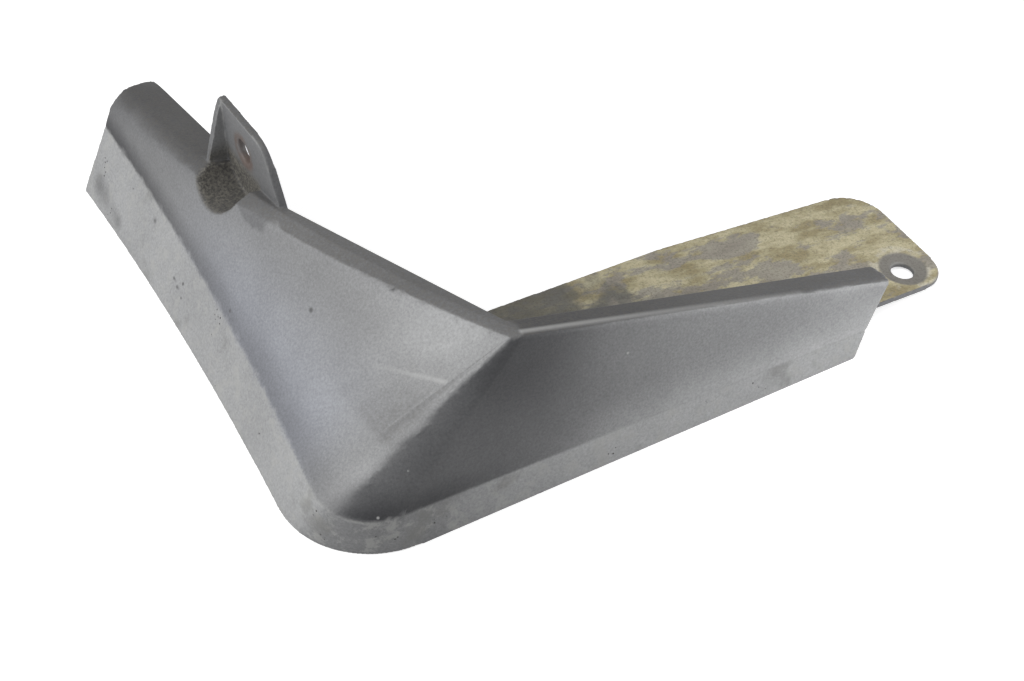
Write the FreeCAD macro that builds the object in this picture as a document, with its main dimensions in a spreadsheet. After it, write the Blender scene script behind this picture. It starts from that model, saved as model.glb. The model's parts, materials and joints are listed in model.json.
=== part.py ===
"""Moulded one-piece car mudguard: a hollow corner shell with a screw lug and a sill plate.

X runs along the outer skirt, Y along the wheel-side arm, Z up from the rim. Millimetres, degrees.
"""
import FreeCAD, Part
import math
import os
import Sketcher
from FreeCAD import Vector

NODE = "mudguard"

# Driving sizes: name, value, what it measures
SIZES = (
    ("wall", 3.0, "wall of the moulding"),
    ("spare", 40.0, "spare length of a cutter past what it cuts"),
    ("arm_end", 277.0, "length of the arm along the rim"),
    ("arm_spare", 18.0, "spare length of the arm before its end is cut"),
    ("skirt_end", 261.0, "length of the skirt along the rim"),
    ("skirt_spare", 30.0, "spare length of the skirt before its end is cut"),
    ("block_back", 75.0, "depth of the block behind the rim"),
    ("rim_x", -0.9, "rim of the arm at its spare end"),
    ("rim_bow", 2080.0, "radius of the arm's hollow rim"),
    ("rim_corner", 43.0, "radius of the rim's corner"),
    ("rim_centre", 44.0, "centre of the rim's corner"),
    ("crease_height", 20.0, "crease plane over the rim's corner"),
    ("crease_fall", 1.7, "fall of the crease plane along the skirt"),
    ("crease_rise", 2.9, "rise of the crease plane along the arm"),
    ("crease_x", 15.5, "crease of the arm at its spare end"),
    ("crease_y", 2.0, "crease of the skirt, in from the rim"),
    ("crease_bow", 1680.0, "radius of the arm's hollow crease"),
    ("crease_corner", 26.0, "radius of the crease's corner"),
    ("crease_centre", 36.5, "centre of the crease's corner"),
    ("top_height", 108.6, "top plane over the rim's corner"),
    ("arm_height", 58.2, "top plane over the rim at the arm's end"),
    ("skirt_height", 41.5, "top plane over the rim at the skirt's end"),
    ("top_x", 29.6, "top edge of the arm at its spare end, in the top plane"),
    ("top_y", 22.0, "top edge of the skirt, in the top plane"),
    ("top_bow", 560.0, "radius of the arm's full top edge"),
    ("peak_corner", 3.0, "radius of the peak's corner"),
    ("peak_centre", 104.3, "centre of the peak's corner"),
    ("shoulder_drop", 1.2, "shoulder under the top plane, at the rim's corner"),
    ("shoulder_depth", 8.9, "shoulder under the top plane, at the arm's end"),
    ("shoulder_x", 20.4, "shoulder of the arm at its spare end"),
    ("shoulder_y", 19.7, "shoulder of the skirt"),
    ("shoulder_bow", 560.0, "radius of the arm's full shoulder"),
    ("shoulder_corner", 5.5, "radius of the shoulder's corner"),
    ("shoulder_centre", 102.5, "centre of the shoulder's corner"),
    ("shoulder_round", 3.0, "round of the shoulder"),
    ("lip_round", 2.0, "round of the top edge"),
    ("back_round", 1.0, "round of the edge towards the car"),
    ("far_lean", 3.2, "turn of the arm's back wall"),
    ("foot_x", 54.6, "bend of the back wall at the lug's foot, across"),
    ("foot_y", 140.0, "bend of the back wall at the lug's foot, along"),
    ("notch_x", 98.0, "inner corner of the back walls, along the skirt"),
    ("notch_y", 26.0, "inner corner of the back walls, behind the rim"),
    ("far_turn", 2.6, "turn of the skirt's back wall"),
    ("arm_end_turn", 21.5, "turn of the arm's end cut"),
    ("arm_end_lean", 9.8, "lean of the arm's end cut"),
    ("skirt_end_lean", 26.6, "lean of the skirt's end cut"),
    ("sill_height", 38.1, "sill plane over the rim's corner"),
    ("sill_fall", 6.0, "fall of the sill plane along the skirt"),
    ("sill_wall", 3.0, "thickness of the sill plate"),
    ("sill_end", 331.4, "end of the sill plate, in its plane"),
    ("sill_near", 19.0, "near corner of the sill plate's free end"),
    ("sill_far", 89.3, "far edge of the sill plate"),
    ("sill_bend", 215.0, "where the sill plate's far edge turns in"),
    ("sill_root", 80.0, "far edge of the sill plate at the back wall"),
    ("sill_far_corner", 19.0, "radius of the sill plate's far corner"),
    ("sill_near_corner", 14.0, "radius of the sill plate's near corner"),
    ("sill_hole", 10.5, "screw hole in the sill plate"),
    ("sill_hole_in", 17.6, "screw hole, in from the sill plate's end"),
    ("sill_hole_far", 56.9, "screw hole, in from the sill plate's far edge"),
    ("dish_mouth", 12.5, "radius of the dish round the sill plate's hole"),
    ("dish_floor", 8.0, "radius of the dish's floor"),
    ("dish_depth", 1.2, "depth of the dish"),
    ("sink", 1.2, "how deep a plate is sunk into the wall that carries it"),
    ("undercut", 8.0, "free room in front of the back walls, under the sill plane"),
    ("lug_wall", 3.5, "thickness of the lug"),
    ("lug_top", 94.5, "height of the lug's top"),
    ("lug_root", 48.0, "height at which the lug starts in the back wall"),
    ("lug_width", 55.0, "width of the lug at its foot"),
    ("lug_slope", 64.0, "slope of the lug's free edge"),
    ("lug_foot_height", 68.0, "height of the lug's free edge at its foot"),
    ("lug_corner", 15.0, "round of the lug's top towards its free edge"),
    ("lug_hole", 10.5, "screw hole in the lug"),
    ("lug_hole_in", 33.5, "screw hole, in from the lug's foot"),
    ("lug_hole_height", 78.5, "height of the lug's screw hole"),
    ("scoop_round", 16.0, "radius of the scoop in front of the lug's hole"),
    ("scoop_in", 35.5, "middle of the scoop, in from the lug's foot"),
    ("scoop_height", 69.5, "height of the scoop's centre"),
    ("scoop_reach", 40.0, "reach of the scoop in front of the lug"),
    ("gusset_wall", 3.2, "thickness of the gusset beside the lug"),
    ("gusset_tip", 6.0, "reach of the gusset's tip from the lug's back"),
    ("gusset_tip_height", 89.0, "height of the gusset's tip"),
    ("gusset_reach", 14.0, "reach of the gusset's foot from the lug's back"),
    ("gusset_front", 61.0, "height of the gusset's foot at its front"),
    ("gusset_back", 58.5, "height of the gusset's foot at the lug"),
)

# How far the inner outlines step in and drop for a unit wall
RIM_RUN = 1.09
CREASE_RUN = 0.9
CREASE_DROP = 0.5
SHOULDER_RUN = 0.7
SHOULDER_RUN_SKIRT = 0.9
SHOULDER_DROP = 0.7
TOP_RUN = 0.1
# Spare length of the room inside at both ends, in walls
ROOM_RUN = 2

FLAT = "rotationx(0)"
BLOCK_X = "(Sizes.skirt_end + Sizes.skirt_spare)"
BLOCK_Y = "(Sizes.arm_end + Sizes.arm_spare)"
FAR_X = f"({BLOCK_X} + Sizes.spare)"
FAR_Y = f"({BLOCK_Y} + Sizes.spare)"
BELOW = f"placement(vector(0; 0; -Sizes.spare); {FLAT})"
CREASE_TURN = "rotationx(Sizes.crease_rise) * rotationy(Sizes.crease_fall)"
TOP_SLOPE = "((Sizes.top_height - Sizes.skirt_height) / Sizes.skirt_end)"
TOP_FALL = "atan((Sizes.top_height - Sizes.arm_height) / Sizes.arm_end)"
TOP_TURN = f"rotationx(-{TOP_FALL}) * rotationy(atan({TOP_SLOPE} * cos({TOP_FALL})))"
SHOULDER_HEIGHT = "(Sizes.top_height - Sizes.shoulder_drop)"
SHOULDER_FALL = f"atan(({SHOULDER_HEIGHT} - Sizes.arm_height + Sizes.shoulder_depth) / Sizes.arm_end)"
SHOULDER_TURN = f"rotationx(-{SHOULDER_FALL}) * rotationy(atan({TOP_SLOPE} * cos({SHOULDER_FALL})))"
SILL_PLANE = "placement(vector(0; 0; Sizes.sill_height); rotationy(Sizes.sill_fall))"
SILL_HOLE = "Sizes.sill_end - Sizes.sill_hole_in; Sizes.sill_far - Sizes.sill_hole_far"
LUG_TURN = "rotationz(90 + Sizes.far_lean) * rotationx(90)"
LUG_PLANE = f"placement(vector(Sizes.foot_x; Sizes.foot_y; 0); {LUG_TURN})"

doc = FreeCAD.newDocument("Mudguard")
sheet = doc.addObject("Spreadsheet::Sheet", "Sizes")
for row, (name, value, meaning) in enumerate(SIZES, 1):
    sheet.set(f"A{row}", meaning)
    sheet.set(f"B{row}", str(value))
    sheet.setAlias(f"B{row}", name)
doc.recompute()


def size(name):
    """Value of a size in the sheet"""
    return float(sheet.get(name))


def new_body(name):
    return doc.addObject("PartDesign::Body", name)


def new_sketch(body, name, plane):
    """Sketch on the body's XY plane, moved to a placement given as an expression"""
    sketch = body.newObject("Sketcher::SketchObject", name)
    base = next(item for item in body.Origin.OriginFeatures if item.Role == "XY_Plane")
    sketch.AttachmentSupport = [(base, "")]
    sketch.MapMode = "FlatFace"
    sketch.setExpression("AttachmentOffset", plane)
    return sketch


def drive(sketch, constraint, formula):
    """Add a constraint and bind its value to a formula of the sheet's sizes"""
    index = sketch.addConstraint(constraint)
    sketch.setExpression(f"Constraints[{index}]", formula)


def pin(sketch, edge, end, across=None, along=None):
    """Hold a point at a distance from the sketch's origin; end 3 is an arc's centre"""
    point = sketch.getPoint(edge, end)
    if across:
        drive(sketch, Sketcher.Constraint("DistanceX", -1, 1, edge, end, point.x), across)
    if along:
        drive(sketch, Sketcher.Constraint("DistanceY", -1, 1, edge, end, point.y), along)


def add_line(sketch, start, end):
    return sketch.addGeometry(Part.LineSegment(Vector(*start, 0), Vector(*end, 0)))


def add_arc(sketch, centre, radius, start, end):
    """Arc between two angles in degrees"""
    circle = Part.Circle(Vector(*centre, 0), Vector(0, 0, 1), radius)
    return sketch.addGeometry(Part.ArcOfCircle(circle, math.radians(start), math.radians(end)))


def join(sketch, *ends):
    """Join pairs of edge ends, each pair as edge, end, edge, end"""
    for pair in ends:
        sketch.addConstraint(Sketcher.Constraint("Coincident", *pair))


def tangent(sketch, *ends):
    for pair in ends:
        sketch.addConstraint(Sketcher.Constraint("Tangent", *pair))


def add_bow(sketch, low, top, radius, hollow):
    """Bowed arm side between two points, hollow or full seen from outside"""
    chord = top - low
    side = Vector(-chord.y, chord.x, 0).normalize()
    depth = math.sqrt(radius ** 2 - (chord.Length / 2) ** 2)
    centre = (low + top) / 2 + side * (depth if hollow else -depth)
    first, last = (low, top) if hollow else (top, low)
    start = math.degrees(math.atan2(first.y - centre.y, first.x - centre.x))
    end = math.degrees(math.atan2(last.y - centre.y, last.x - centre.x))
    return add_arc(sketch, (centre.x, centre.y), radius, start, end if end > start else end + 360)


def outline(body, name, plane, arm_x, skirt_y, bow, corner, centre, hollow, walls):
    """Closed outline: bowed arm side, round corner, straight skirt side and the block's back.

    Each of arm_x, skirt_y, bow, corner and centre is a value with its formula. Both ends are
    longer by a number of walls.
    """
    sketch = new_sketch(body, name, plane)
    end_x = size("skirt_end") + size("skirt_spare") + walls * size("wall")
    end_y = size("arm_end") + size("arm_spare") + walls * size("wall")
    back = size("block_back")
    low = skirt_y[0]
    high = low + corner[0]
    bend_start = Vector(centre[0] - corner[0], high, 0)
    arm = add_bow(sketch, bend_start, Vector(arm_x[0], end_y, 0), bow[0], hollow)
    arm_low, arm_top = (1, 2) if hollow else (2, 1)
    bend = add_arc(sketch, (centre[0], high), corner[0], 180, 270)
    skirt = add_line(sketch, (centre[0], low), (end_x, low))
    skirt_end = add_line(sketch, (end_x, low), (end_x, back))
    slant = add_line(sketch, (end_x, back), (back, end_y))
    arm_end = add_line(sketch, (back, end_y), (arm_x[0], end_y))
    tangent(sketch, (arm, arm_low, bend, 1), (bend, 2, skirt, 1))
    join(sketch, (skirt, 2, skirt_end, 1), (skirt_end, 2, slant, 1))
    join(sketch, (slant, 2, arm_end, 1), (arm_end, 2, arm, arm_top))
    for edge in (skirt, arm_end):
        sketch.addConstraint(Sketcher.Constraint("Horizontal", edge))
    sketch.addConstraint(Sketcher.Constraint("Vertical", skirt_end))
    drive(sketch, Sketcher.Constraint("Radius", arm, bow[0]), bow[1])
    drive(sketch, Sketcher.Constraint("Radius", bend, corner[0]), corner[1])
    pin(sketch, bend, 3, across=centre[1])
    pin(sketch, arm, arm_top, arm_x[1], f"{BLOCK_Y} + {walls} * Sizes.wall")
    pin(sketch, skirt, 2, f"{BLOCK_X} + {walls} * Sizes.wall", skirt_y[1])
    if not skirt_y[1]:
        sketch.addConstraint(Sketcher.Constraint("PointOnObject", skirt, 2, -1))
    pin(sketch, skirt_end, 2, along="Sizes.block_back")
    pin(sketch, arm_end, 1, across="Sizes.block_back")
    return sketch


def wider(name, share):
    """Size plus a share of the wall, as a value with its formula"""
    return size(name) + share * size("wall"), f"Sizes.{name} + {share} * Sizes.wall"


def back_region(body, name, plane, inset):
    """All that lies behind the back walls, from a line held in front of them by the inset"""
    sketch = new_sketch(body, name, plane)
    far_x = size("skirt_end") + size("skirt_spare") + size("spare")
    far_y = size("arm_end") + size("arm_spare") + size("spare")
    arm_x = size("foot_x") - (far_y - size("foot_y")) * math.tan(math.radians(size("far_lean")))
    skirt_y = size("notch_y") - (far_x - size("notch_x")) * math.tan(math.radians(size("far_turn")))
    foot = (size("foot_x"), size("foot_y"))
    notch = (size("notch_x"), size("notch_y"))
    walls = [add_line(sketch, (arm_x, far_y), foot)]
    walls.append(add_line(sketch, foot, notch))
    walls.append(add_line(sketch, notch, (far_x, skirt_y)))
    join(sketch, (walls[0], 2, walls[1], 1), (walls[1], 2, walls[2], 1))
    pin(sketch, walls[0], 2, "Sizes.foot_x", "Sizes.foot_y")
    pin(sketch, walls[1], 2, "Sizes.notch_x", "Sizes.notch_y")
    lean = f"({FAR_Y} - Sizes.foot_y) * tan(Sizes.far_lean)"
    turn = f"({FAR_X} - Sizes.notch_x) * tan(Sizes.far_turn)"
    pin(sketch, walls[0], 1, f"Sizes.foot_x - {lean}", FAR_Y)
    pin(sketch, walls[2], 2, FAR_X, f"Sizes.notch_y - {turn}")
    front = walls
    if inset:
        gap = size(inset)
        front = [add_line(sketch, (arm_x - gap, far_y), (foot[0] - gap, foot[1]))]
        front.append(add_line(sketch, (foot[0] - gap, foot[1]), (notch[0] - gap, notch[1] - gap)))
        front.append(add_line(sketch, (notch[0] - gap, notch[1] - gap), (far_x, skirt_y - gap)))
        join(sketch, (front[0], 2, front[1], 1), (front[1], 2, front[2], 1))
        for wall, line in zip(walls, front):
            sketch.setConstruction(wall, True)
            sketch.addConstraint(Sketcher.Constraint("Parallel", wall, line))
            drive(sketch, Sketcher.Constraint("Distance", line, 1, wall, gap), f"Sizes.{inset}")
        pin(sketch, front[0], 1, along=FAR_Y)
        pin(sketch, front[2], 2, across=FAR_X)
    start = sketch.getPoint(front[0], 1)
    end = sketch.getPoint(front[2], 2)
    side = add_line(sketch, (end.x, end.y), (far_x, far_y))
    rear = add_line(sketch, (far_x, far_y), (start.x, start.y))
    join(sketch, (front[2], 2, side, 1), (side, 2, rear, 1), (rear, 2, front[0], 1))
    sketch.addConstraint(Sketcher.Constraint("Vertical", side))
    sketch.addConstraint(Sketcher.Constraint("Horizontal", rear))
    return sketch


def plane_edges(feature, sketch):
    """Names of a block's edges in a sketch's plane, without those of its two ends"""
    normal = sketch.Placement.Rotation.multVec(Vector(0, 0, 1))
    found = {}
    for index, edge in enumerate(feature.Shape.Edges, 1):
        heights = [(vertex.Point - sketch.Placement.Base).dot(normal) for vertex in edge.Vertexes]
        if max(map(abs, heights)) < 0.01:
            found[f"Edge{index}"] = edge.CenterOfMass
    for axis in ("x", "y"):
        found.pop(max(found, key=lambda name: getattr(found[name], axis)))
    return found


def on_back(point):
    """True for a point on one of the three back walls"""
    lean = math.radians(size("far_lean"))
    turn = math.radians(size("far_turn"))
    flat = Vector(point.x, point.y, 0)
    foot = Vector(size("foot_x"), size("foot_y"), 0)
    notch = Vector(size("notch_x"), size("notch_y"), 0)
    if flat.y > foot.y:
        gap = (flat - foot).dot(Vector(math.cos(lean), math.sin(lean), 0))
    elif flat.y > notch.y:
        gap = (flat - notch).cross((foot - notch).normalize()).z
    else:
        gap = (flat - notch).dot(Vector(math.sin(turn), math.cos(turn), 0))
    return abs(gap) < 0.1


def add_fillet(body, name, base, edges, radius):
    fillet = body.newObject("PartDesign::Fillet", name)
    fillet.Base = (base, edges)
    fillet.setExpression("Radius", radius)
    doc.recompute()
    return fillet


def shell_block(name, share, inset):
    """Solid corner block: four outlines lofted, then cut along the back walls.

    A share of 0 gives the outer form and 1 the room a wall inside it.
    """
    body = new_body(name)
    top_wall = f"{share} * Sizes.wall / cos({TOP_FALL})"
    crease_height = f"Sizes.crease_height - {CREASE_DROP * share} * Sizes.wall"
    shoulder_height = f"{SHOULDER_HEIGHT} - {SHOULDER_DROP * share} * Sizes.wall"
    planes = (
        f"placement(vector(0; 0; -{share} * Sizes.sink); {FLAT})",
        f"placement(vector(0; 0; {crease_height}); {CREASE_TURN})",
        f"placement(vector(0; 0; {shoulder_height}); {SHOULDER_TURN})",
        f"placement(vector(0; 0; Sizes.top_height - {top_wall}); {TOP_TURN})",
    )
    runs = ((RIM_RUN, 1), (CREASE_RUN, 1), (SHOULDER_RUN, SHOULDER_RUN_SKIRT), (TOP_RUN, TOP_RUN))
    bends = ("rim_corner", "crease_corner", "shoulder_corner", "peak_corner")
    centres = ("rim_centre", "crease_centre", "shoulder_centre", "peak_centre")
    outlines = []
    for step, stem in enumerate(("rim", "crease", "shoulder", "top")):
        run_arm, run_skirt = runs[step]
        if stem == "rim":
            skirt_y = (share * size("wall"), "Sizes.wall" if share else None)
        else:
            skirt_y = wider(f"{stem}_y", run_skirt * share)
        outlines.append(outline(
            body, f"{name}{stem.title()}", planes[step], wider(f"{stem}_x", run_arm * share), skirt_y,
            wider(f"{stem}_bow", 0), wider(bends[step], -run_arm * share), wider(centres[step], 0),
            stem in ("rim", "crease"), ROOM_RUN * share,
        ))
    doc.recompute()
    loft = body.newObject("PartDesign::AdditiveLoft", f"{name}Loft")
    loft.Profile = outlines[0]
    loft.Sections = outlines[1:]
    loft.Ruled = True
    pocket = body.newObject("PartDesign::Pocket", f"{name}Back")
    pocket.Profile = back_region(body, f"{name}BackLine", BELOW, inset)
    pocket.Type = "ThroughAll"
    pocket.Reversed = True
    doc.recompute()
    return body, pocket, outlines[3], outlines[2]


def plate(body, name, plane, points, formulas, thickness):
    """Flat plate between pinned corners, padded against the sketch's normal"""
    sketch = new_sketch(body, f"{name}Outline", plane)
    lines = [add_line(sketch, points[i - 1], points[i]) for i in range(len(points))]
    for i, line in enumerate(lines):
        join(sketch, (lines[i - 1], 2, line, 1))
        pin(sketch, line, 2, *formulas[i])
        if not formulas[i][0]:
            sketch.addConstraint(Sketcher.Constraint("PointOnObject", line, 2, -2))
    pad = body.newObject("PartDesign::Pad", name)
    pad.Profile = sketch
    pad.setExpression("Length", thickness)
    pad.Reversed = True
    doc.recompute()
    return pad


def drill(body, name, plane, centre, formulas, diameter):
    """Round hole straight through a plate"""
    sketch = new_sketch(body, f"{name}Circle", plane)
    ring = sketch.addGeometry(Part.Circle(Vector(*centre, 0), Vector(0, 0, 1), size(diameter) / 2))
    drive(sketch, Sketcher.Constraint("Diameter", ring, size(diameter)), f"Sizes.{diameter}")
    pin(sketch, ring, 3, *formulas)
    pocket = body.newObject("PartDesign::Pocket", name)
    pocket.Profile = sketch
    pocket.Type = "ThroughAll"
    pocket.Midplane = True
    doc.recompute()


def normal_edge(feature, point):
    """Name of the straight edge whose middle lies nearest a point"""
    edges = feature.Shape.Edges
    nearest = min(range(len(edges)), key=lambda i: (edges[i].CenterOfMass - point).Length)
    return f"Edge{nearest + 1}"


def cut(name, base, tool):
    feature = doc.addObject("Part::Cut", name)
    feature.Base = base
    feature.Tool = tool
    return feature


def end_cutter(name, plane, start):
    """Large box held in a plane's frame, from a start corner"""
    box = doc.addObject("Part::Box", name)
    for side in ("Length", "Width", "Height"):
        box.setExpression(side, "2 * Sizes.arm_end")
    box.setExpression("Placement", f"{plane} * placement(vector({start}); {FLAT})")
    return box


def turned(name, low, high, height, depth):
    """Cone or cylinder round the sill plate's hole, its foot at a depth under the plate's top.

    The two radii, the height and the depth are formulas.
    """
    kind = "Part::Cylinder" if low == high else "Part::Cone"
    item = doc.addObject(kind, name)
    if low == high:
        item.setExpression("Radius", low)
    else:
        item.setExpression("Radius1", low)
        item.setExpression("Radius2", high)
    item.setExpression("Height", height)
    place = f"placement(vector({SILL_HOLE}; -({depth})); {FLAT})"
    item.setExpression("Placement", f"{SILL_PLANE} * {place}")
    return item


def scoop(name, plane, share):
    """Round-bottomed slot running forward from the lug, widened by a share of the wall"""
    body = new_body(name)
    sketch = new_sketch(body, f"{name}Outline", plane)
    radius = size("scoop_round") + share * size("wall")
    middle = size("scoop_in")
    low = size("scoop_height")
    high = size("lug_top") + size("spare")
    bowl = add_arc(sketch, (middle, low), radius, 180, 360)
    right = add_line(sketch, (middle + radius, low), (middle + radius, high))
    lid = add_line(sketch, (middle + radius, high), (middle - radius, high))
    left = add_line(sketch, (middle - radius, high), (middle - radius, low))
    tangent(sketch, (bowl, 2, right, 1), (left, 2, bowl, 1))
    join(sketch, (right, 2, lid, 1), (lid, 2, left, 1))
    for edge in (right, left):
        sketch.addConstraint(Sketcher.Constraint("Vertical", edge))
    sketch.addConstraint(Sketcher.Constraint("Horizontal", lid))
    drive(sketch, Sketcher.Constraint("Radius", bowl, radius), f"Sizes.scoop_round + {share} * Sizes.wall")
    pin(sketch, bowl, 3, "Sizes.scoop_in", "Sizes.scoop_height")
    pin(sketch, lid, 1, along="Sizes.lug_top + Sizes.spare")
    pad = body.newObject("PartDesign::Pad", f"{name}Pad")
    pad.Profile = sketch
    pad.setExpression("Length", "Sizes.scoop_reach")
    pad.Reversed = True
    return body


# Outer form, with its shoulder, its top edge and its edge towards the car rounded
outer, outer_block, outer_top, outer_shoulder = shell_block("Outer", 0, None)
shoulder_edges = list(plane_edges(outer_block, outer_shoulder))
rounded = add_fillet(outer, "ShoulderRound", outer_block, shoulder_edges, "Sizes.shoulder_round")
edges = plane_edges(rounded, outer_top)
lip_edges = [name for name, point in edges.items() if not on_back(point)]
lipped = add_fillet(outer, "LipRound", rounded, lip_edges, "Sizes.lip_round")
edges = plane_edges(lipped, outer_top)
back_edges = [name for name, point in edges.items() if on_back(point)]
add_fillet(outer, "BackRound", lipped, back_edges, "Sizes.back_round")

# Room inside the shell, a wall away from the outer form
room = shell_block("Room", 1, "wall")[0]
scoop_wall = scoop("ScoopWall", f"{LUG_PLANE} * placement(vector(0; 0; -Sizes.sink); {FLAT})", 1)
shell = cut("Shell", outer, cut("RoomAroundScoop", room, scoop_wall))

# Slanted ends of the arm and the skirt
arm_turn = "rotationz(Sizes.arm_end_turn) * rotationx(Sizes.arm_end_lean)"
arm_plane = f"placement(vector(0; Sizes.arm_end; 0); {arm_turn})"
arm_end = end_cutter("ArmEnd", arm_plane, "-Sizes.arm_end; 0; -Sizes.arm_end")
skirt_plane = "placement(vector(Sizes.skirt_end; 0; 0); rotationy(Sizes.skirt_end_lean))"
skirt_end = end_cutter("SkirtEnd", skirt_plane, "0; -Sizes.arm_end; -Sizes.arm_end")
trimmed = cut("SkirtTrimmed", cut("ArmTrimmed", shell, arm_end), skirt_end)

# The back walls stop inside the sill plate
under = new_body("Underside")
under_plane = f"{SILL_PLANE} * placement(vector(0; 0; -Sizes.sill_wall / 2); {FLAT})"
under_pad = under.newObject("PartDesign::Pad", "UndersidePad")
under_pad.Profile = back_region(under, "UndersideLine", under_plane, "undercut")
under_pad.setExpression("Length", "Sizes.block_back")
under_pad.Reversed = True
walls = cut("WallsTrimmed", trimmed, under)

# Sill plate, sunk into the back walls
sill = new_body("Sill")
lip_end = size("skirt_end") + size("skirt_spare") / 2
near_x = size("notch_x") - size("sink")
near_y = size("notch_y") - size("sink")
rise = math.tan(math.radians(size("far_turn")))
slope = (size("foot_x") - size("notch_x")) / (size("foot_y") - size("notch_y"))
sill_points = (
    (near_x, near_y),
    (lip_end, near_y - (lip_end - near_x) * rise),
    (size("sill_end"), size("sill_near")),
    (size("sill_end"), size("sill_far")),
    (size("sill_bend"), size("sill_far")),
    (near_x + (size("sill_root") - near_y) * slope, size("sill_root")),
)
lip_formula = "(Sizes.skirt_end + Sizes.skirt_spare / 2)"
near_x_formula = "(Sizes.notch_x - Sizes.sink)"
near_y_formula = "(Sizes.notch_y - Sizes.sink)"
slope_formula = "(Sizes.foot_x - Sizes.notch_x) / (Sizes.foot_y - Sizes.notch_y)"
root_formula = f"{near_x_formula} + (Sizes.sill_root - {near_y_formula}) * {slope_formula}"
sill_formulas = (
    (near_x_formula, near_y_formula),
    (lip_formula, f"{near_y_formula} - ({lip_formula} - {near_x_formula}) * tan(Sizes.far_turn)"),
    ("Sizes.sill_end", "Sizes.sill_near"),
    ("Sizes.sill_end", "Sizes.sill_far"),
    ("Sizes.sill_bend", "Sizes.sill_far"),
    (root_formula, "Sizes.sill_root"),
)
sill_pad = plate(sill, "SillPlate", SILL_PLANE, sill_points, sill_formulas, "Sizes.sill_wall")
sill_frame = sill_pad.Profile[0].Placement
near_edge = normal_edge(sill_pad, sill_frame.multVec(Vector(*sill_points[2], -size("sill_wall") / 2)))
near_round = add_fillet(sill, "SillNearCorner", sill_pad, [near_edge], "Sizes.sill_near_corner")
far_edge = normal_edge(near_round, sill_frame.multVec(Vector(*sill_points[3], -size("sill_wall") / 2)))
add_fillet(sill, "SillFarCorner", near_round, [far_edge], "Sizes.sill_far_corner")

# Dished boss and screw hole near the sill plate's free end
boss_floor = "Sizes.dish_floor + Sizes.sink"
boss_mouth = "Sizes.dish_mouth + Sizes.sink"
boss = turned("SillBoss", boss_floor, boss_mouth, "Sizes.dish_depth", "Sizes.sill_wall + Sizes.dish_depth")
dish = turned("SillDish", "Sizes.dish_floor", "Sizes.dish_mouth", "Sizes.dish_depth", "Sizes.dish_depth")
hole = turned("SillHole", "Sizes.sill_hole / 2", "Sizes.sill_hole / 2", "Sizes.spare", "Sizes.spare / 2")
bossed = doc.addObject("Part::Fuse", "SillBossed")
bossed.Base = sill
bossed.Tool = boss
drilled = cut("SillDrilled", cut("SillDished", bossed, dish), hole)

# Lug that stands on the arm's back wall, with its screw hole
lug = new_body("Lug")
slant = (size("lug_top") - size("lug_foot_height")) / math.tan(math.radians(size("lug_slope")))
lug_points = (
    (0, size("lug_root")),
    (0, size("lug_foot_height")),
    (slant, size("lug_top")),
    (size("lug_width"), size("lug_top")),
    (size("lug_width"), size("lug_root")),
)
lug_formulas = (
    (None, "Sizes.lug_root"),
    (None, "Sizes.lug_foot_height"),
    ("(Sizes.lug_top - Sizes.lug_foot_height) / tan(Sizes.lug_slope)", "Sizes.lug_top"),
    ("Sizes.lug_width", "Sizes.lug_top"),
    ("Sizes.lug_width", "Sizes.lug_root"),
)
lug_pad = plate(lug, "LugPlate", LUG_PLANE, lug_points, lug_formulas, "Sizes.lug_wall")
lug_frame = lug_pad.Profile[0].Placement
corner_edge = normal_edge(lug_pad, lug_frame.multVec(Vector(*lug_points[2], -size("lug_wall") / 2)))
add_fillet(lug, "LugCorner", lug_pad, [corner_edge], "Sizes.lug_corner")
lug_hole_at = (size("lug_hole_in"), size("lug_hole_height"))
drill(lug, "LugHole", LUG_PLANE, lug_hole_at, ("Sizes.lug_hole_in", "Sizes.lug_hole_height"), "lug_hole")

# Gusset between the lug and the arm's top
gusset = new_body("Gusset")
gusset_plane = f"{LUG_PLANE} * placement(vector(Sizes.lug_width; 0; 0); rotationy(90))"
gusset_points = (
    (size("sink"), size("gusset_back")),
    (size("sink"), size("lug_top")),
    (size("lug_wall"), size("lug_top")),
    (size("gusset_tip"), size("gusset_tip_height")),
    (size("gusset_reach"), size("gusset_front")),
)
gusset_formulas = (
    ("Sizes.sink", "Sizes.gusset_back"),
    ("Sizes.sink", "Sizes.lug_top"),
    ("Sizes.lug_wall", "Sizes.lug_top"),
    ("Sizes.gusset_tip", "Sizes.gusset_tip_height"),
    ("Sizes.gusset_reach", "Sizes.gusset_front"),
)
plate(gusset, "GussetPlate", gusset_plane, gusset_points, gusset_formulas, "Sizes.gusset_wall")

# One moulding, with the scoop cut last
joined = doc.addObject("Part::MultiFuse", "Joined")
joined.Shapes = [walls, drilled, lug, gusset]
scoop_plane = f"{LUG_PLANE} * placement(vector(0; 0; -Sizes.lug_wall); {FLAT})"
mudguard = cut("Mudguard", joined, scoop("Scoop", scoop_plane, 0))
mudguard.Refine = True
mudguard.Label = NODE
doc.recompute()

for item in doc.Objects:
    if "Invalid" in item.State or "Error" in item.State:
        raise RuntimeError(f"{item.Name} did not build: {item.State}")
shape = mudguard.Shape
if shape.isNull() or not shape.isValid() or len(shape.Solids) != 1:
    raise RuntimeError(f"{NODE} is not one valid solid")
box = shape.optimalBoundingBox(False, False)
mudguard.Placement = FreeCAD.Placement(Vector(-box.Center.x, -box.Center.y, -box.ZMin), FreeCAD.Rotation())
doc.recompute()

os.makedirs("parts", exist_ok=True)
mudguard.Shape.exportStep(f"parts/{NODE}.step")
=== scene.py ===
"""Weathered moulded mudguard on a white studio floor, seen from the photograph's angle."""
import json
import math

import bmesh
import bpy
import numpy as np
from mathutils import Matrix, Vector
from mathutils.bvhtree import BVHTree


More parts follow.
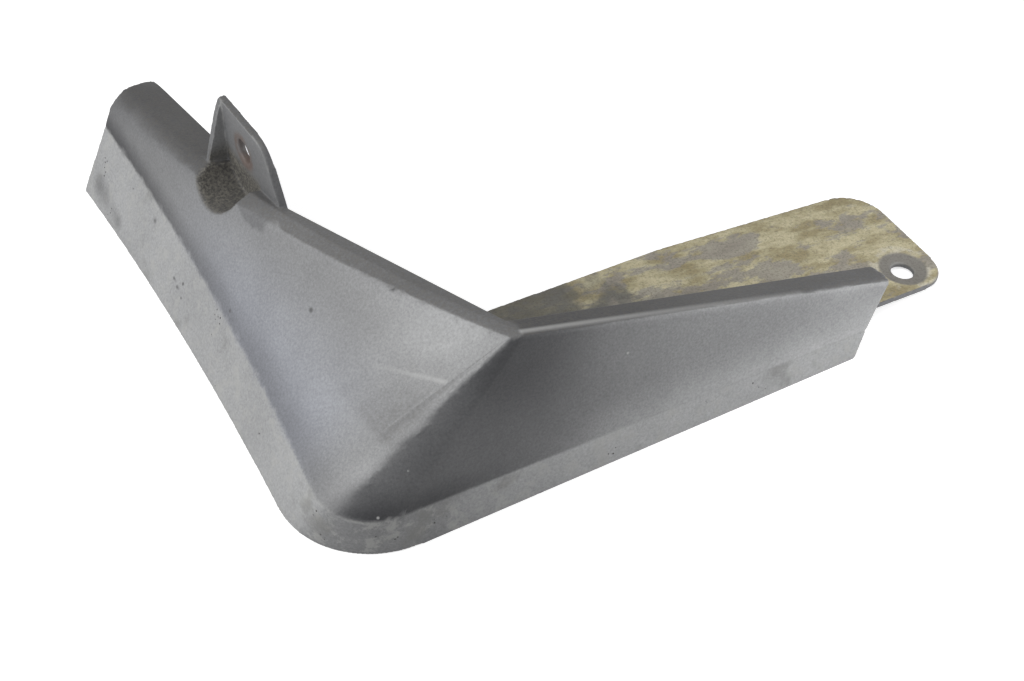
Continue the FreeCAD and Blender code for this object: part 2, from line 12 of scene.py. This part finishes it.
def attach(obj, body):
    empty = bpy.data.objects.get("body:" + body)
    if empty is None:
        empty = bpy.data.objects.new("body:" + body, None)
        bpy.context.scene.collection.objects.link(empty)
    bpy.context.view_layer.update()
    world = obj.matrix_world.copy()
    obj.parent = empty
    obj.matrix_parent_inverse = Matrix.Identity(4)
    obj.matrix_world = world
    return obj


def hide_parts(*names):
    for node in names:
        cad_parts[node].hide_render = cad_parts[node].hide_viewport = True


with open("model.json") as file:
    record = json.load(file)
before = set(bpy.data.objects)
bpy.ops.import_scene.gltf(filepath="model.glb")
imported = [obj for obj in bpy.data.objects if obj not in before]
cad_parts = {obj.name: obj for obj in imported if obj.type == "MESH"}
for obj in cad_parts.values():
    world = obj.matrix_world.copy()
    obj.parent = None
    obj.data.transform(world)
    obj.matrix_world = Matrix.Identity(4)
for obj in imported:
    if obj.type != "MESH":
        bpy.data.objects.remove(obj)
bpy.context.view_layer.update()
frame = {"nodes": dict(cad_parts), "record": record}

MM = 0.001
# Where the rim's sharp corner lies in the part's frame, in millimetres
CORNER = Vector((-164.9125, -144.6641, 0.0))

# Camera of the photograph: its place from the rim's corner, its axes and its focal length in pixels
EYE = (-145.8, -416.45, 572.76)
RIGHT = Vector((0.8737, -0.4864, 0.0))
UP = Vector((0.3440, 0.6178, 0.7071))
LOOK = Vector((0.3440, 0.6178, -0.7071))
FOCAL_PX = 1800
WIDTH_PX = 1024
HEIGHT_PX = 681
SENSOR = 36
CLIP_START = 0.01

# Soft lamps: name, place and target in millimetres from the rim's corner, size in metres, power in watts
LAMPS = (
    ("left", (-1000, 260, 800), (60, 140, 40), 0.9, 10),
    ("overhead", (150, 300, 1400), (150, 100, 0), 1.2, 4),
    ("right", (420, -160, 120), (230, 0, 30), 0.25, 0.5),
)
SKY_STRENGTH = 0.33
FLOOR_REACH = 6.0
FLOOR_COLOUR = (0.8, 0.8, 0.8)
FLOOR_GLOW = 0.62

# Planes of the moulding over the rim, in millimetres: height, fall along X and rise along Y
CREASE_PLANE = (20.0, -0.0297, 0.0507)
SILL_PLANE = (38.3, -0.1051, 0.0)

# Places on the moulding, in millimetres from the rim's corner
PEAK = np.array((99.7, 17.7, 79.0))
SCOOP_AXIS_Y = 175.4
SCOOP_AXIS_Z = 69.5
SCOOP_ROUND = 16.0
WHEEL_END_X = 112
LIP_DEPTH_Y = 26
LUG_FOOT_Z = 62

# Visual mesh: merging distances, longest edges on plain faces and beside sharp edges, and the sharp angle
MERGE = 0.002 * MM
SLIVER = 0.02 * MM
PLAIN_EDGE = 4.2 * MM
PLAIN_ROUNDS = 7
FINE_EDGE = 1.7 * MM
FINE_ROUNDS = 2
SHARP = math.radians(28)

# Where the smoothing of each form begins and where it is full, in millimetres, and how far a round pulls
CREASE_REACH = (9, 2)
CREASE_FADE_X = (70, 190)
FOLD_REACH = (4, 9)
FOLD_FROM_PEAK = (3, 32)
LIP_REACH = (12, 20)
SHOULDER_Y = (95, 150)
SHOULDER_Z = (34, 42)
ARM_END_Y = (250, 262)
ARM_END_Z = (26, 32)
PULL = 0.5
CREASE_PULL = 0.6

# How pale the plastic is on each part of the moulding; several of these tones hold painted light and shade
HIDDEN_TONE = 0.17
WHEEL_TONE = 0.315
SKIRT_TONE = 0.12
# Painted shade in the groove of the crease
GROOVE_SHADE_TONE = 0.05
BAND_TONE = 0.36
TOP_TONE = 0.1
TOP_EDGE_TONE = 0.04
LIP_TONE = 0.085
LUG_TONE = 0.15
LUG_COVER = 0.8

# Plastic from black to white, and a bluish white above the crease that is a painted reflection of bluish
# light
BLACK = (0.0, 0.0, 0.004)
WHITE = (0.985, 0.995, 1.0)
SKY_REFLECTION_WHITE = (0.93, 0.965, 1.06)

# Dried mud and silt, from dark to pale
MUD_DARK = (0.31, 0.265, 0.15)
MUD_PALE = (0.6, 0.55, 0.37)
SILT_DARK = (0.055, 0.052, 0.047)
SILT_PALE = (0.19, 0.178, 0.15)

# Coats over the plastic and over the mud: colour, and how strongly each covers
COATS = {
    "scuff": ((0.42, 0.42, 0.405), 0.5),
    "smudge": ((0.2, 0.2, 0.19), 0.55),
    "pit": ((0.09, 0.09, 0.085), 1.0),
    "bare plate": ((0.29, 0.275, 0.265), 0.7),
    # Painted shade over the mud near the notch
    "notch shade": ((0.13, 0.13, 0.122), 0.8),
    "dish": ((0.22, 0.21, 0.19), 1.0),
    "mud ring": ((0.6, 0.57, 0.48), 0.7),
    "mud grain": ((0.1, 0.09, 0.07), 0.45),
    "top dirt": ((0.14, 0.13, 0.11), 0.5),
    "rust": ((0.13, 0.085, 0.065), 0.7),
    "dark mark": ((0.06, 0.06, 0.06), 1.0),
    # Pale marks, and the painted highlight along the lip
    "pale mark and highlight": ((0.75, 0.75, 0.74), 1.0),
    "worn edge": ((0.45, 0.45, 0.43), 0.35),
}
SILT_COVER = 0.92

# Depths of the bumps, in metres
GRAIN_DEPTH = 0.00012
MUD_DEPTH = 0.0011
PIT_DEPTH = 0.0004

# Marks by pixels of the photograph: start, end, half width in millimetres and strength
DARK_MARKS = (
    ((311, 310), (312, 311), 1.7, 0.8),
    ((230, 311), (231, 312), 1.5, 0.7),
    ((155, 221), (155, 224), 2.2, 0.7),
    ((100, 186), (112, 212), 9.0, 0.5),
    ((118, 222), (108, 200), 6.0, 0.45),
    ((174, 278), (176, 281), 1.3, 0.8),
    ((177, 287), (179, 289), 1.4, 0.8),
    ((183, 284), (183, 285), 1.3, 0.8),
    ((181, 298), (181, 299), 1.0, 0.7),
)
PALE_MARKS_AND_HIGHLIGHT = (
    ((445, 382), (372, 365), 1.8, 0.25),
    # Painted highlight along the rounded lip of the skirt
    ((522, 331), (800, 293), 2.0, 0.42),
    ((628, 353), (629, 353), 1.0, 0.5),
    ((378, 518), (379, 518), 0.9, 0.5),
    ((408, 471), (409, 471), 0.6, 0.4),
)
# Share of a dot and of a fleck that is full, and how much a line fades to its end
DOT_CORE = 0.2
FLECK_CORE = 0.6
MARK_FADE = 0.8

# How the mud is drawn out along the plate, and how far noise moves the end of the painted shade near the
# notch, in millimetres
MUD_DRIFT = (0.42, 1.0, 1.0)
NOTCH_SHADE_BROAD = 90
NOTCH_SHADE_BLOTCH = 50

# Roughness of the satin plastic, and what blotches, mud and the band's share of the mud's add to it
SATIN = 0.34
BLOTCH_DULL = 0.25
MUD_DULL = 0.35
BAND_DULL = 0.7

# Sockets of a colour Mix node
MIX_FIRST = 6
MIX_SECOND = 7
MIX_RESULT = 2


def spot(x, y, z):
    """Point given in millimetres from the rim's sharp corner"""
    return (CORNER + Vector((x, y, z))) * MM


def link(item):
    bpy.context.scene.collection.objects.link(item)
    return item


def add_camera():
    data = bpy.data.cameras.new("camera")
    data.sensor_fit = "HORIZONTAL"
    data.sensor_width = SENSOR
    data.lens = SENSOR * FOCAL_PX / WIDTH_PX
    data.clip_start = CLIP_START
    camera = link(bpy.data.objects.new("camera", data))
    turn = Matrix((RIGHT, UP, -LOOK)).transposed().to_4x4()
    camera.matrix_world = Matrix.Translation(spot(*EYE)) @ turn
    bpy.context.scene.camera = camera


def add_lamp(name, place, target, size, power):
    """Round soft lamp that looks at a target"""
    data = bpy.data.lights.new(name, "AREA")
    data.shape = "DISK"
    data.size = size
    data.energy = power
    lamp = link(bpy.data.objects.new(name, data))
    aim = (target - place).to_track_quat("-Z", "Y")
    lamp.matrix_world = Matrix.Translation(place) @ aim.to_matrix().to_4x4()


class Skin:
    """Short ways to add shader nodes to one material"""

    def __init__(self, name):
        self.material = bpy.data.materials.new(name)
        self.material.use_nodes = True
        self.tree = self.material.node_tree
        self.tree.nodes.clear()

    def node(self, kind, **settings):
        item = self.tree.nodes.new(f"ShaderNode{kind}")
        for name, value in settings.items():
            setattr(item, name, value)
        return item

    def feed(self, socket, value):
        """Link an output to a socket, or set a plain value on it"""
        if isinstance(value, bpy.types.NodeSocket):
            self.tree.links.new(value, socket)
        elif isinstance(value, tuple) and socket.type == "RGBA":
            socket.default_value = (*value, 1)
        else:
            socket.default_value = value

    def math(self, operation, first, second=0.0):
        item = self.node("Math", operation=operation)
        self.feed(item.inputs[0], first)
        self.feed(item.inputs[1], second)
        return item.outputs[0]

    def product(self, *factors):
        result = factors[0]
        for factor in factors[1:]:
            result = self.math("MULTIPLY", result, factor)
        return result

    def largest(self, *values):
        result = values[0]
        for value in values[1:]:
            result = self.math("MAXIMUM", result, value)
        return result

    def scaled(self, value, scale, offset):
        """Value times a scale, plus an offset"""
        return self.math("ADD", self.product(value, scale), offset)

    def vector(self, operation, first, second=(0, 0, 0), third=(0, 0, 0)):
        item = self.node("VectorMath", operation=operation)
        for socket, value in zip(item.inputs, (first, second, third)):
            self.feed(socket, value)
        return item.outputs["Value" if operation in ("DISTANCE", "DOT_PRODUCT") else "Vector"]

    def step(self, value, low, high):
        """Smooth step from 0 at low to 1 at high"""
        item = self.node("MapRange", interpolation_type="SMOOTHSTEP")
        self.feed(item.inputs["Value"], value)
        self.feed(item.inputs["From Min"], low)
        self.feed(item.inputs["From Max"], high)
        return item.outputs["Result"]

    def mix(self, share, first, second):
        """Blend from the first colour to the second"""
        item = self.node("Mix", data_type="RGBA")
        self.feed(item.inputs[0], share)
        self.feed(item.inputs[MIX_FIRST], first)
        self.feed(item.inputs[MIX_SECOND], second)
        return item.outputs[MIX_RESULT]

    def coat(self, under, name, *shares):
        """Put a named coat over a colour, by the product of shares"""
        colour, strength = COATS[name]
        return self.mix(self.product(*shares, strength), under, colour)

    def noise(self, where, grain, detail=3.0, rough=0.55):
        """Noise whose blotches are about a grain across, in the units of where"""
        item = self.node("TexNoise")
        self.feed(item.inputs["Vector"], where)
        self.feed(item.inputs["Scale"], 1 / grain)
        self.feed(item.inputs["Detail"], detail)
        self.feed(item.inputs["Roughness"], rough)
        return item.outputs["Fac"]

    def flecks(self, where, grain, size):
        """Small round flecks in cells a grain across; size is a share of the cell"""
        item = self.node("TexVoronoi")
        self.feed(item.inputs["Vector"], where)
        self.feed(item.inputs["Scale"], 1 / grain)
        return self.step(item.outputs["Distance"], low=size, high=size * FLECK_CORE)

    def zone(self, name):
        """Share of a zone that the mesh carries"""
        return self.node("Attribute", attribute_name=name).outputs["Fac"]

    def bump(self, height, depth, normal=None):
        """Bump of a height from 0 to 1 over a depth in metres"""
        item = self.node("Bump")
        self.feed(item.inputs["Height"], height)
        self.feed(item.inputs["Distance"], depth)
        if normal:
            self.feed(item.inputs["Normal"], normal)
        return item.outputs["Normal"]


def add_floor():
    """White floor that keeps the shadow and shows white to the camera"""
    skin = Skin("floor")
    out = skin.node("OutputMaterial")
    both = skin.node("AddShader")
    paper = skin.node("BsdfDiffuse")
    skin.feed(paper.inputs["Color"], FLOOR_COLOUR)
    glow = skin.node("Emission")
    path = skin.node("LightPath")
    skin.feed(glow.inputs["Strength"], skin.product(path.outputs["Is Camera Ray"], FLOOR_GLOW))
    skin.feed(both.inputs[0], paper.outputs[0])
    skin.feed(both.inputs[1], glow.outputs[0])
    skin.feed(out.inputs["Surface"], both.outputs[0])
    mesh = bpy.data.meshes.new("floor")
    reach = FLOOR_REACH
    corners = [(-reach, -reach, 0), (reach, -reach, 0), (reach, reach, 0), (-reach, reach, 0)]
    mesh.from_pydata(corners, [], [(0, 1, 2, 3)])
    mesh.materials.append(skin.material)
    link(bpy.data.objects.new("floor", mesh))


def set_world():
    world = bpy.data.worlds.new("studio")
    bpy.context.scene.world = world
    world.use_nodes = True
    back = world.node_tree.nodes["Background"]
    back.inputs["Color"].default_value = (1, 1, 1, 1)
    back.inputs["Strength"].default_value = SKY_STRENGTH


def split_long(form, chosen, limit, rounds):
    """Halve the chosen edges that are longer than the limit, a number of times"""
    for _ in range(rounds):
        edges = [edge for edge in chosen() if edge.calc_length() > limit]
        bmesh.ops.subdivide_edges(form, edges=edges, cuts=1, use_single_edge=True)
        bmesh.ops.triangulate(form, faces=[face for face in form.faces if len(face.verts) > 3])


def sharp_points(form):
    """Points on edges where two faces meet at a sharp angle"""
    found = set()
    for edge in form.edges:
        if edge.calc_face_angle(0) > SHARP:
            found.update(edge.verts)
    return found


def fine_mesh(node):
    """Fine mesh over the CAD solid, and which of its points are on sharp edges"""
    form = bmesh.new()
    form.from_mesh(node.data)
    bmesh.ops.remove_doubles(form, verts=form.verts, dist=MERGE)
    bmesh.ops.dissolve_degenerate(form, edges=form.edges, dist=SLIVER)
    bmesh.ops.triangulate(form, faces=form.faces)

    def beside_sharp():
        return {edge for point in sharp_points(form) for edge in point.link_edges}

    split_long(form, lambda: form.edges, PLAIN_EDGE, PLAIN_ROUNDS)
    split_long(form, beside_sharp, FINE_EDGE, FINE_ROUNDS)
    form.verts.index_update()
    sharp = np.zeros(len(form.verts))
    sharp[[point.index for point in sharp_points(form)]] = 1
    mesh = bpy.data.meshes.new("guard")
    form.to_mesh(mesh)
    form.free()
    return mesh, sharp


def read(items, name, width, kind=float):
    """Values of a mesh layer, one row for each item"""
    values = np.empty(len(items) * width, kind)
    items.foreach_get(name, values)
    return values.reshape(-1, width)


def smooth(points, pairs, weight, rounds):
    """Move points towards the mean of their neighbours, each by its own weight"""
    ends = pairs.ravel()
    others = pairs[:, ::-1].ravel()
    count = np.maximum(np.bincount(ends, minlength=len(points)), 1)
    for _ in range(rounds):
        sums = [np.bincount(ends, points[others, axis], len(points)) for axis in range(3)]
        points += weight[:, None] * (np.stack(sums, 1) / count[:, None] - points)


def rise(value, low, high):
    """Smooth step from 0 at low to 1 at high"""
    share = np.clip((value - low) / (high - low), 0, 1)
    return share * share * (3 - 2 * share)


def plane_height(plane, place):
    return plane[0] + plane[1] * place[:, 0] + plane[2] * place[:, 1]


def ease(mesh, sharp):
    """Soften the crease, the fold at the corner, the lip, the arm's shoulder and end, and all sharp edges"""
    points = read(mesh.vertices, "co", 3)
    pairs = read(mesh.edges, "vertices", 2, int)
    facing = read(mesh.vertex_normals, "vector", 3)
    plain = 1 - sharp
    place = points / MM - np.array(CORNER)
    x, y, z = place.T
    over_crease = z - plane_height(CREASE_PLANE, place)
    to_peak = np.linalg.norm(place - PEAK, axis=1)

    # The crease fades out along the skirt
    outside = (x < 30) | (y < 7) | ((x < 50) & (y < 25))
    crease = rise(np.abs(over_crease), *CREASE_REACH) * outside * (0.35 + 0.65 * rise(x, *CREASE_FADE_X))
    smooth(points, pairs, weight=CREASE_PULL * crease * plain, rounds=10)

    # The fold is sharp at the peak and soft towards the rim
    outward = (np.maximum(-facing[:, 0], -facing[:, 1]) > 0.1) & (facing[:, 2] < 0.75)
    fold = outward * (x < WHEEL_END_X) * (y < 90)
    fold = fold * rise(over_crease, *FOLD_REACH) * rise(to_peak, *FOLD_FROM_PEAK)
    smooth(points, pairs, weight=PULL * fold, rounds=30)

    # The lip on the skirt and the shoulder of the arm are rounded over
    lip = (x > 104) * (y < LIP_DEPTH_Y) * rise(over_crease, *LIP_REACH) * (facing[:, 1] < 0.3)
    smooth(points, pairs, weight=PULL * lip * plain, rounds=12)
    shoulder = rise(z, *SHOULDER_Z) * rise(y, *SHOULDER_Y) * (x < 46)
    smooth(points, pairs, weight=PULL * shoulder * plain, rounds=12)

    # The arm's end is rounded along its sharp outline first, and the faces beside it follow
    arm_end = rise(y, *ARM_END_Y) * rise(z, *ARM_END_Z)
    along = pairs[(sharp[pairs] > 0).all(1)]
    smooth(points, along, weight=PULL * arm_end * sharp, rounds=36)
    smooth(points, pairs, weight=PULL * arm_end * plain, rounds=20)
    smooth(points, pairs, weight=PULL * sharp, rounds=2)

    mesh.vertices.foreach_set("co", points.ravel())
    mesh.polygons.foreach_set("use_smooth", np.ones(len(mesh.polygons), bool))
    mesh.update()


def blend(base, share, level):
    """Move a level towards another by a share"""
    return base + share * (level - base)


def mark_zones(mesh, sharp):
    """Write how pale the plastic is, painted light and shade included, and the shares of the zones that the
    weathering and the painted reflection follow
    """
    place = read(mesh.vertices, "co", 3) / MM - np.array(CORNER)
    normal = read(mesh.vertex_normals, "vector", 3)
    x, y, z = place.T
    to_wheel, to_front, to_sky = -normal[:, 0], -normal[:, 1], normal[:, 2]
    over_crease = z - plane_height(CREASE_PLANE, place)
    over_sill = z - plane_height(SILL_PLANE, place)
    to_scoop = np.hypot(y - SCOOP_AXIS_Y, z - SCOOP_AXIS_Z)
    to_peak = np.linalg.norm(place - PEAK, axis=1)

    # Zones by place in millimetres and by the way the surface faces
    outer = ((x < 60) | (y < 25)) & (x < 284)
    above_sill = rise(over_sill, 6, 9)
    band = rise(over_crease, 1.2, -0.6) * rise(np.maximum(to_wheel, to_front), 0.15, 0.35) * outer
    skirt = rise(to_front, 0.2, 0.62) * rise(over_crease, -1, 1) * outer
    wheel = rise(to_wheel, 0.2, 0.4) * rise(over_crease, -1, 1) * (x < WHEEL_END_X) * (1 - skirt)
    groove = rise(over_crease, 14, 1)
    corner = rise(to_front, 0.15, 0.5) * rise(x, 95, 45)
    top = rise(to_sky, 0.72, 0.9) * above_sill
    lip = top * (x > 100) * (y < LIP_DEPTH_Y)
    sill = rise(to_sky, 0.5, 0.8) * rise(np.abs(over_sill), 4, 2.5) * (x > 62)
    scoop = rise(to_scoop, SCOOP_ROUND + 2, SCOOP_ROUND - 1) * (x < 54) * above_sill
    scoop *= rise(z, SCOOP_AXIS_Z + 5, SCOOP_AXIS_Z - 4)
    lug = (y > 138) & (y < 200) & (x > 38) & (z > LUG_FOOT_Z)
    gusset = rise(to_front, 0.4, 0.7) * rise(y, 176, 184)
    # Painted reflection of bluish light on the wheel side above the crease, fading along the arm
    sky_reflection = wheel * rise(over_crease, 45, 4) * rise(y, 20, 60) * rise(y, 230, 120)
    edge = sharp * ((over_crease < 2) | (z > 84) | (y > 264) | (x > 258))

    # The wheel side is palest near the peak and darkens along the arm, below its top and in the groove: a
    # painted highlight near the peak, painted shade along the arm and painted shade in the crease's groove
    wheel_tone = WHEEL_TONE - 0.15 * rise(y, 110, 275) + 0.1 * rise(to_peak, 75, 12) - 0.11 * groove
    wheel_tone -= 0.06 * rise(over_crease, 18, 42) * rise(to_peak, 40, 95)
    # The skirt is darkest under the peak and pales towards its end and its crease: painted shade beside the
    # fold, painted light towards the end and a painted reflection of the floor along its low band
    skirt_tone = SKIRT_TONE + 0.13 * rise(x, 80, 180) + 0.06 * rise(x, 170, 280)
    skirt_tone += 0.14 * rise(over_crease, 22, -2) * rise(x, 80, 170) - 0.055 * rise(to_peak, 50, 12)
    # The band is darker round the corner and a little paler under the skirt
    band_tone = BAND_TONE - 0.13 * corner + 0.05 * rise(to_front, 0.3, 0.6) * rise(x, 90, 150)
    tone = np.full(len(place), HIDDEN_TONE)
    tone = blend(tone, wheel, wheel_tone)
    tone = blend(tone, skirt, skirt_tone)
    # Painted shade in the groove of the crease round the corner
    tone = blend(tone, groove * corner * outer * (1 - band), GROOVE_SHADE_TONE)
    tone = blend(tone, band, band_tone)
    tone = blend(tone, top, TOP_TONE + 0.07 * rise(y, 165, 140))
    # Painted shade along the rolled top edge of the arm
    tone = blend(tone, top * sharp * (y < 150), TOP_EDGE_TONE)
    # Painted shade on the skirt's rounded lip, lighter towards its end
    tone = blend(tone, lip, LIP_TONE + 0.045 * rise(x, 110, 240))
    # The lug is darker, and the gusset's inner face is made paler by painted light
    tone = blend(tone, lug * LUG_COVER, LUG_TONE + 0.15 * gusset)

    zones = {"tone": tone, "band": band, "sill": sill, "top": top, "scoop": scoop, "sky_reflection": sky_reflection, "edge": edge}
    for name, share in zones.items():
        layer = mesh.attributes.new(name, "FLOAT", "POINT")
        layer.data.foreach_set("value", share.astype(np.float32))


def seen(tree, pixel):
    """Point of the guard under a pixel of the photograph, in millimetres from the rim's corner"""
    across = RIGHT * (pixel[0] - WIDTH_PX / 2)
    down = UP * (pixel[1] - HEIGHT_PX / 2)
    hit = tree.ray_cast(spot(*EYE), (LOOK * FOCAL_PX + across - down).normalized())[0]
    return hit / MM - CORNER


def stroke(skin, where, start, end, width):
    """Round mark, or a soft mark along a line that fades from start to end"""
    line = end - start
    if line.length < width / 2:
        return skin.step(skin.vector("DISTANCE", where, tuple(start)), low=width, high=width * DOT_CORE)
    from_start = skin.vector("SUBTRACT", where, tuple(start))
    per_length = tuple(line / line.length_squared)
    share = skin.node("Clamp")
    skin.feed(share.inputs["Value"], skin.vector("DOT_PRODUCT", from_start, per_length))
    along = skin.node("VectorMath", operation="SCALE")
    skin.feed(along.inputs[0], tuple(line))
    skin.feed(along.inputs["Scale"], share.outputs[0])
    nearest = skin.vector("ADD", along.outputs[0], tuple(start))
    fading = skin.math("SUBTRACT", 1.0, skin.product(share.outputs[0], MARK_FADE))
    return skin.product(skin.step(skin.vector("DISTANCE", where, nearest), low=width, high=0), fading)


def marks(skin, where, tree, lines):
    """All marks of one kind, each as first pixel, last pixel, half width in millimetres and strength"""
    found = []
    for first, last, width, strength in lines:
        line = stroke(skin, where, seen(tree, first), seen(tree, last), width)
        found.append(skin.product(line, strength))
    return skin.largest(*found)


def hole_ring(skin, where, mount, inner, outer, soft):
    """Ring round a screw hole between two radii"""
    centre = Vector(mount["pos_m"]) / MM - CORNER
    reach = skin.vector("DISTANCE", where, tuple(centre))
    return skin.product(skin.step(reach, inner - soft, inner), skin.step(reach, outer + soft, outer))


def plastic(tree):
    """Grey satin plastic with dust, an abraded band and dried mud on the sill plate, and with painted light,
    shade, a painted reflection and a painted highlight
    """
    skin = Skin("weathered_plastic")
    own = skin.node("TexCoord").outputs["Object"]
    where = skin.vector("MULTIPLY_ADD", own, (1 / MM,) * 3, tuple(-CORNER))
    broad = skin.noise(where, grain=40, detail=4)
    blotch = skin.noise(where, grain=11, detail=5)
    speckle = skin.noise(where, grain=1.1, detail=3, rough=0.7)
    holes = {mount["name"]: mount for mount in frame["record"]["mounts"]}

    # Plastic as pale as its zone says, with broad stains and a fine grain
    stain = skin.scaled(broad, scale=0.5, offset=0.75)
    grain = skin.scaled(speckle, scale=0.9, offset=0.55)
    tone = skin.product(skin.zone("tone"), stain, grain)
    # Bluish white where the wheel side carries its painted reflection
    tint = skin.mix(skin.zone("sky_reflection"), WHITE, SKY_REFLECTION_WHITE)
    colour = skin.mix(tone, BLACK, tint)

    # Abraded band with stone chips and smudges
    band = skin.zone("band")
    scuff = skin.step(skin.noise(where, grain=7, detail=6, rough=0.7), low=0.5, high=0.62)
    colour = skin.coat(colour, "scuff", band, scuff)
    smudge = skin.step(skin.noise(where, grain=26, detail=5, rough=0.6), low=0.56, high=0.7)
    colour = skin.coat(colour, "smudge", band, smudge)
    chipped = skin.step(skin.noise(where, grain=16, detail=2), low=0.6, high=0.66)
    pits = skin.product(band, skin.flecks(where, grain=2.6, size=0.2), chipped)
    colour = skin.coat(colour, "pit", pits)

    # Dried mud on the sill plate, drawn out along it and worn through in places
    drift = skin.vector("MULTIPLY", where, MUD_DRIFT)
    crust = skin.noise(drift, grain=10, detail=7, rough=0.66)
    mud = skin.mix(skin.step(crust, low=0.34, high=0.66), MUD_DARK, MUD_PALE)
    bare = skin.step(skin.noise(drift, grain=17, detail=7, rough=0.68), low=0.5, high=0.55)
    mud = skin.coat(mud, "bare plate", bare)

    # Painted shade darkening the mud near the notch, with a ragged end
    parts = skin.node("SeparateXYZ")
    skin.feed(parts.inputs[0], where)
    ragged = skin.math("ADD", skin.product(broad, NOTCH_SHADE_BROAD), skin.product(blotch, NOTCH_SHADE_BLOTCH))
    near_notch = skin.step(skin.math("ADD", parts.outputs["X"], ragged), low=246, high=226)
    mud = skin.coat(mud, "notch shade", near_notch)

    # Dish and pale ring round the plate's hole, then the mud's grain
    dish = hole_ring(skin, where, holes["sill_hole"], inner=0, outer=11, soft=2)
    mud = skin.coat(mud, "dish", dish)
    ring = hole_ring(skin, where, holes["sill_hole"], inner=13, outer=15, soft=2.5)
    mud = skin.coat(mud, "mud ring", ring, skin.step(blotch, low=0.48, high=0.6))
    mud = skin.coat(mud, "mud grain", skin.step(speckle, low=0.45, high=0.7))
    colour = skin.mix(skin.zone("sill"), colour, mud)

    # Dirt on the arm's top, in the scoop and round the lug's hole
    dirty = skin.step(skin.noise(where, grain=1.3, detail=5, rough=0.7), low=0.36, high=0.68)
    colour = skin.coat(colour, "top dirt", skin.zone("top"), dirty)
    silt = skin.mix(dirty, SILT_DARK, SILT_PALE)
    colour = skin.mix(skin.product(skin.zone("scoop"), SILT_COVER), colour, silt)
    rust = hole_ring(skin, where, holes["lug_hole"], inner=0, outer=7.5, soft=3)
    colour = skin.coat(colour, "rust", rust, skin.step(blotch, low=0.3, high=0.55))

    # Marks of use and a painted highlight along the lip, then worn edges
    colour = skin.coat(colour, "dark mark", marks(skin, where, tree, DARK_MARKS))
    colour = skin.coat(colour, "pale mark and highlight", marks(skin, where, tree, PALE_MARKS_AND_HIGHLIGHT))
    colour = skin.coat(colour, "worn edge", skin.zone("edge"), skin.step(blotch, low=0.35, high=0.6))

    # Mud and silt are dull, the band less so, and the rest is satin
    surface = skin.node("BsdfPrincipled")
    skin.feed(surface.inputs["Base Color"], colour)
    muddy = skin.largest(skin.zone("sill"), skin.zone("scoop"))
    matte = skin.largest(muddy, skin.product(band, BAND_DULL))
    dull = skin.math("ADD", skin.product(matte, MUD_DULL), skin.product(blotch, BLOTCH_DULL))
    skin.feed(surface.inputs["Roughness"], skin.math("ADD", dull, SATIN))
    fine = skin.bump(speckle, GRAIN_DEPTH)
    rough = skin.bump(skin.product(crust, muddy), MUD_DEPTH, fine)
    dents = skin.bump(skin.math("SUBTRACT", 1.0, pits), PIT_DEPTH, rough)
    skin.feed(surface.inputs["Normal"], dents)
    out = skin.node("OutputMaterial")
    skin.feed(out.inputs["Surface"], surface.outputs[0])
    return skin.material


add_camera()
add_floor()
set_world()
for lamp_name, lamp_place, lamp_target, lamp_size, lamp_power in LAMPS:
    add_lamp(lamp_name, spot(*lamp_place), spot(*lamp_target), lamp_size, lamp_power)

guard_mesh, sharp_share = fine_mesh(frame["nodes"]["mudguard"])
ease(guard_mesh, sharp_share)
mark_zones(guard_mesh, sharp_share)
guard = link(bpy.data.objects.new("guard", guard_mesh))
surface_tree = BVHTree.FromObject(guard, bpy.context.evaluated_depsgraph_get())
guard_mesh.materials.append(plastic(surface_tree))
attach(guard, "root")
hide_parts("mudguard")

bpy.context.scene.view_settings.view_transform = "Standard"
